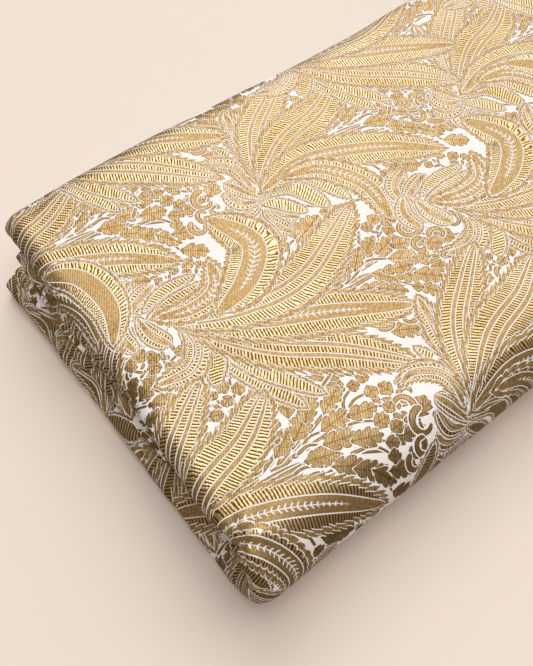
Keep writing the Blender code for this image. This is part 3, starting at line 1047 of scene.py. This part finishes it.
def faceMaterial():
    # white satin ground, gold motifs and metal ribs
    material = bpy.data.materials.new("brocadeFace")
    w = Wiring(material)
    place = w.attribute("clothPlace")
    noises = {name: w.noise(place, *values) for name, values in threads["noises"].items()}
    alongCloth, acrossCloth, _ = w.parts(place)
    floats = {}
    for name, (pitch, slant) in threads["floats"].items():
        slanted = w.plus(alongCloth, w.times(acrossCloth, slant))
        floats[name] = w.calc("SINE", w.times(slanted, 2 * math.pi / pitch))
    wobble = w.times(noises["wobble"], weave["toothWobble"])
    uneven = w.scaled(noises["uneven"], *threads["uneven"])
    show, edge = motifNodes(w, levels[-1], wobble, uneven)
    for letter in reversed(levels[:-1]):
        upper, edge = motifNodes(w, letter, wobble, uneven)
        covered = w.above(edge, -weave["halo"])
        show = {name: w.between(show[name], upper[name], covered) for name in show}
    speckle, patch, hatch = noises["speckle"], noises["patch"], floats["hatch"]
    # gold: darker in patches, hatched with floats, with pale flecks on the sprigs
    shade = w.times(w.above(speckle, 0.5, 0.1), threads["speckleShade"])
    shade = w.scaled(hatch, threads["hatchShade"], shade)
    shade = w.plus(shade, w.scaled(patch, *threads["patchShade"]))
    shade = w.scaled(show["streaked"], threads["sprigShade"], shade, clamp=True)
    gold = w.blend(paint("gold"), paint("goldDeep"), shade)
    flecks = w.scaled(speckle, threads["otherFlecks"], w.times(patch, threads["otherFlecks"]))
    flecks = w.scaled(hatch, threads["hatchFleck"], flecks)
    flecks = w.times(w.above(flecks, threads["fleckLimit"], 0.06), show["streaked"])
    gold = w.blend(gold, paint("streak"), w.times(flecks, threads["fleckStrength"]))
    # a dark outline round the motifs: partly woven, partly painted shade where the raised gold meets the
    # ground
    gold = w.blend(gold, paint("outlineAndEdgeShade"), w.times(show["outlineAndEdgeShade"], threads["outlineStrength"]))
    # ribs: a painted highlight on the crests and painted shade in the valleys between them
    # a slow drift over the cloth, plus each motif's own tone, darkens or lightens the ribs: partly painted
    # reflection of the dark and bright room, partly tone that differs at random
    tone = w.scaled(noises["reflectionAndToneDrift"], *threads["reflectionAndToneDrift"])
    tone = w.plus(tone, w.times(show["tone"], threads["ownTone"]), clamp=True)
    # the rib tops get the painted highlight colour, the rest of each rib the painted shade colour
    crestHighlight = w.above(show["roundness"], weave["ribCrest"], 0.2)
    paintedCrestHighlight = w.blend(paint("dimCrestHighlight"), paint("crestHighlight"), tone)
    paintedValleyShade = w.blend(paint("deepValleyShade"), paint("valleyShade"), tone)
    ribColour = w.blend(paintedValleyShade, paintedCrestHighlight, crestHighlight)
    base = w.blend(paint("ground"), gold, show["gold"])
    base = w.blend(base, ribColour, show["ribbed"])
    goldMetal = w.times(show["gold"], w.scaled(show["streaked"], *threads["goldMetal"]))
    metal = w.between(goldMetal, w.scaled(crestHighlight, *threads["ribMetal"]), show["ribbed"])
    goldRough = w.scaled(show["gold"], *threads["goldRough"])
    rough = w.between(goldRough, w.scaled(crestHighlight, *threads["ribRough"]), show["ribbed"])
    rough = w.plus(rough, w.scaled(speckle, *threads["speckleRough"]))
    # relief
    heights = threads["heights"]
    ribHeight = w.times(show["roundness"], weave["ribHeight"])
    height = w.between(w.times(show["raised"], weave["goldHeight"]), ribHeight, show["ribbed"])
    fine = w.plus(w.times(floats["twill"], heights["twill"]), w.times(noises["grain"], heights["grain"]))
    goldFine = w.scaled(hatch, heights["hatch"], w.times(speckle, heights["speckle"]))
    fine = w.plus(fine, w.times(goldFine, show["gold"]))
    normal = w.relief(w.plus(height, fine), mm)
    w.surface(colour=base, metallic=metal, roughness=rough, normal=normal, **threads["shader"])
    return material


reverseThreads = {
    "stretch": (0.12, 1.6),  # along and across the cloth
    "streak": (0.9, 3.0),
    "patch": (0.07, 3.0),
    "streakShare": 0.6,
    "patchShare": 0.8,
    "goldLimit": 0.72,
    "metal": 0.6,
    "rough": (-0.15, 0.6),
    "height": 0.3,  # millimetres
}


def reverseMaterial():
    # the back of the cloth: pale ground with loose gold floats
    material = bpy.data.materials.new("brocadeReverse")
    w = Wiring(material)
    place = w.attribute("clothPlace")
    alongCloth, acrossCloth, _ = w.parts(place)
    stretched = w.node("ShaderNodeCombineXYZ")
    w.feed(stretched.inputs[0], w.times(alongCloth, reverseThreads["stretch"][0]))
    w.feed(stretched.inputs[1], w.times(acrossCloth, reverseThreads["stretch"][1]))
    streak = w.noise(stretched.outputs[0], *reverseThreads["streak"])
    patch = w.times(w.noise(place, *reverseThreads["patch"]), reverseThreads["patchShare"])
    gold = w.above(w.scaled(streak, reverseThreads["streakShare"], patch), reverseThreads["goldLimit"], 0.05)
    w.surface(
        colour=w.blend(paint("reverse"), paint("gold"), gold),
        metallic=w.times(gold, reverseThreads["metal"]),
        roughness=w.scaled(gold, *reverseThreads["rough"]),
        normal=w.relief(streak, reverseThreads["height"] * mm),
    )
    return material


floorLook = {
    "size": 6.0,
    "cloud": (0.80, 0.70, 0.62, 1.0),
    "cloudNoise": (3.0, 4.0),
    "cloudStrength": 0.12,
    "rough": 0.6,
    "specular": 0.12,
}


def floorMaterial():
    material = bpy.data.materials.new("paleFloor")
    w = Wiring(material)
    place = w.node("ShaderNodeTexCoord").outputs["Object"]
    cloud = w.above(w.noise(place, *floorLook["cloudNoise"]), 0.5, 0.25)
    tone = w.blend(paint("floor"), floorLook["cloud"], w.times(cloud, floorLook["cloudStrength"]))
    w.surface(colour=tone, roughness=floorLook["rough"], specular=floorLook["specular"])
    return material


# Room, lights and camera

room = {
    "skyBack": (1.0, 0.98, 0.95, 1.0),
    "skyFront": (0.10, 0.072, 0.05, 1.0),
    "skyEnds": (0.77, 0.94),
    "skyWay": (0.66, 0.36, 0.66),  # the sky grows lighter this way
    "skyStrength": 1.24,
    "lights": [
        # name, way to it, strength, how wide it looks, colour, whether it shines on the metal threads
        ("backLight", (0.45, 0.6, 0.8), 0.78, 34.0, (1.0, 0.98, 0.955), True),
        ("topLight", (-0.1, -0.15, 1.0), 1.3, 60.0, (1.0, 0.98, 0.955), False),
    ],
}

photoView = {
    "place": (-0.2604, -0.2045, 0.42),
    "way": (0.3253, 0.4089, -0.8526),
    "focalPixels": 794.0,
    "imageHeight": 666.0,
    "sensor": 36.0,
    "nearest": 0.01,
}


def paleFloor():
    bpy.ops.mesh.primitive_plane_add(size=floorLook["size"], location=(0, 0, 0))
    floor = bpy.context.object
    floor.name = "floor"
    floor.data.materials.append(floorMaterial())
    floor.visible_glossy = False  # the metal threads show the dark of the room, not the floor


def lamps():
    for name, way, strength, width, colour, shines in room["lights"]:
        lamp = bpy.data.lights.new(name, "SUN")
        lamp.energy = strength
        lamp.angle = math.radians(width)
        lamp.color = colour
        holder = bpy.data.objects.new(name, lamp)
        holder.location = way
        holder.visible_glossy = shines
        holder.rotation_euler = (-Vector(way)).to_track_quat("-Z", "Y").to_euler()
        bpy.context.scene.collection.objects.link(holder)


def sky():
    world = bpy.data.worlds.new("studioAir")
    bpy.context.scene.world = world
    world.use_nodes = True
    nodes, links = world.node_tree.nodes, world.node_tree.links
    nodes.clear()
    direction = nodes.new("ShaderNodeTexCoord")
    turned = nodes.new("ShaderNodeVectorMath")
    turned.operation = "DOT_PRODUCT"
    turned.inputs[1].default_value = room["skyWay"]
    half = nodes.new("ShaderNodeMath")
    half.operation = "MULTIPLY_ADD"
    half.inputs[1].default_value = 0.5
    half.inputs[2].default_value = 0.5
    ramp = nodes.new("ShaderNodeValToRGB")
    for element, position, colour in zip(ramp.color_ramp.elements, room["skyEnds"], ("skyFront", "skyBack")):
        element.position = position
        element.color = room[colour]
    air = nodes.new("ShaderNodeBackground")
    air.inputs["Strength"].default_value = room["skyStrength"]
    output = nodes.new("ShaderNodeOutputWorld")
    links.new(direction.outputs["Generated"], turned.inputs[0])
    links.new(turned.outputs["Value"], half.inputs[0])
    links.new(half.outputs[0], ramp.inputs[0])
    links.new(ramp.outputs[0], air.inputs[0])
    links.new(air.outputs[0], output.inputs[0])


def photoCamera():
    camera = bpy.data.cameras.new("photoCamera")
    camera.sensor_fit = "AUTO"
    camera.sensor_width = photoView["sensor"]
    camera.lens = photoView["focalPixels"] * photoView["sensor"] / photoView["imageHeight"]
    camera.clip_start = photoView["nearest"]
    holder = bpy.data.objects.new("photoCamera", camera)
    holder.location = photoView["place"]
    holder.rotation_euler = Vector(photoView["way"]).to_track_quat("-Z", "Y").to_euler()
    bpy.context.scene.collection.objects.link(holder)
    bpy.context.scene.camera = holder


def main():
    photoCamera()
    paleFloor()
    lamps()
    sky()
    bpy.context.scene.view_settings.view_transform = "Standard"
    print("studio ready")
    face, reverse, area = brocadeSheet()
    face.data.materials.append(faceMaterial())
    reverse.data.materials.append(reverseMaterial())
    for piece in (face, reverse):
        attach(piece, "root")
    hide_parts("brocade_cloth")
    print("cloth area", round(area, 3), "square metres")


main()
